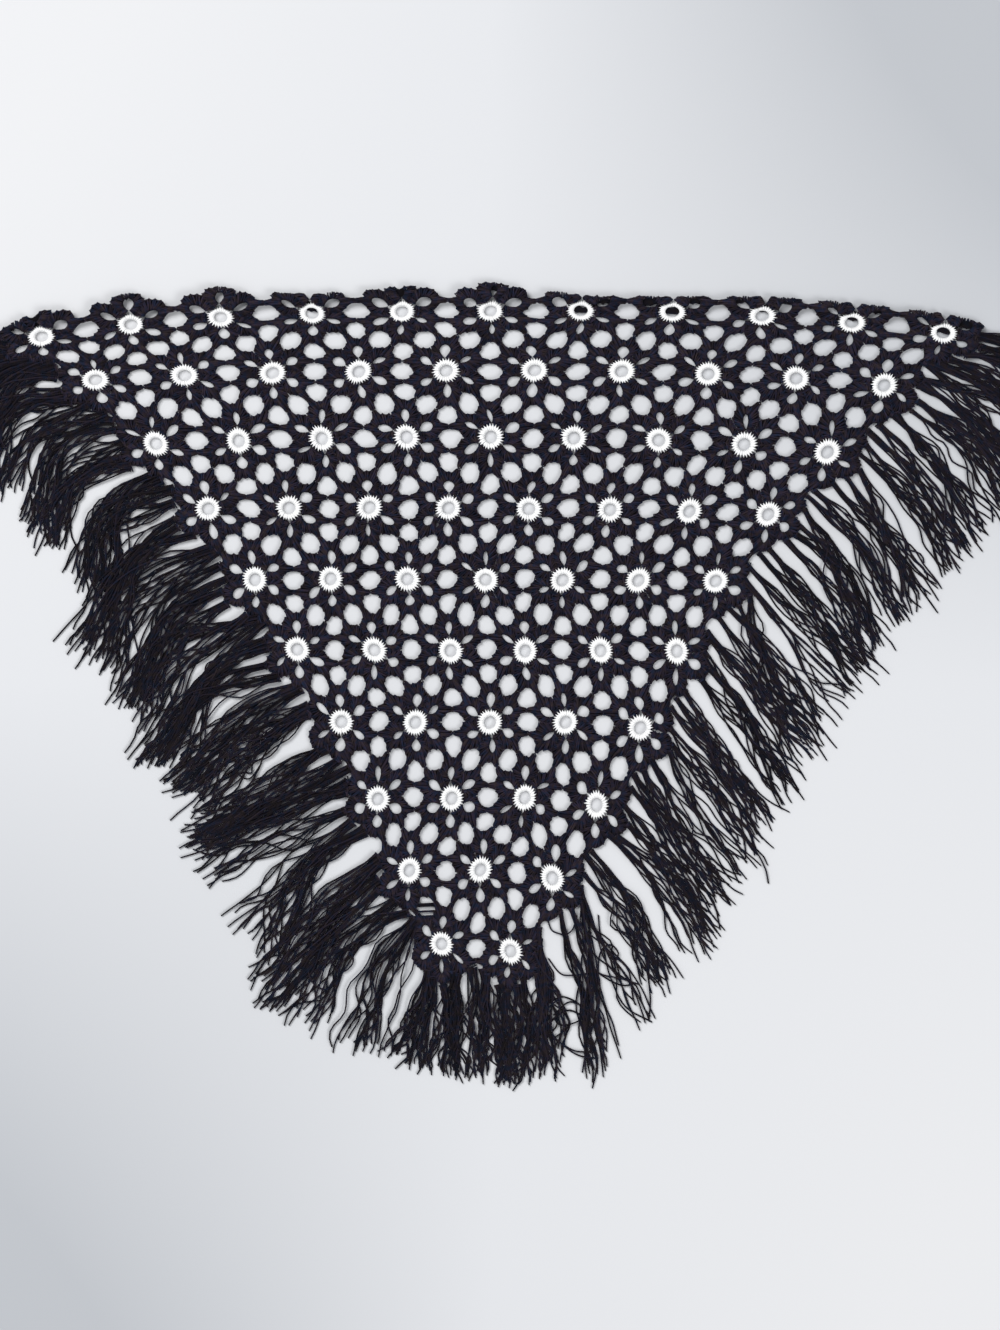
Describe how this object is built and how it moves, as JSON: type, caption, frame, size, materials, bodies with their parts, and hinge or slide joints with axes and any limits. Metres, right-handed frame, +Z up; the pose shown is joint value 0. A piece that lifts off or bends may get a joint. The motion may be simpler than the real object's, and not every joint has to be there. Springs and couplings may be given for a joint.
{
  "type": "crochet shawl",
  "caption": "Triangular black crochet shawl of joined six-petal motifs round white thread-covered rings, fringed on its slanted sides and laid flat.",
  "frame": {"origin": "middle of the shawl's footprint, on the surface it lies on", "axes": "+X along the long straight edge, +Y towards that edge and away from the point, +Z up from the surface"},
  "size_m": [1.4738, 0.9462, 0.0103],
  "materials": {
    "black_yarn": "matt, hairy plied yarn",
    "white_thread": "smooth cotton thread"
  },
  "bodies": {
    "root": {"lace_panel": "black_yarn", "fringe_left": "black_yarn", "fringe_bottom": "black_yarn", "fringe_right": "black_yarn"}
  },
  "joints": []
}
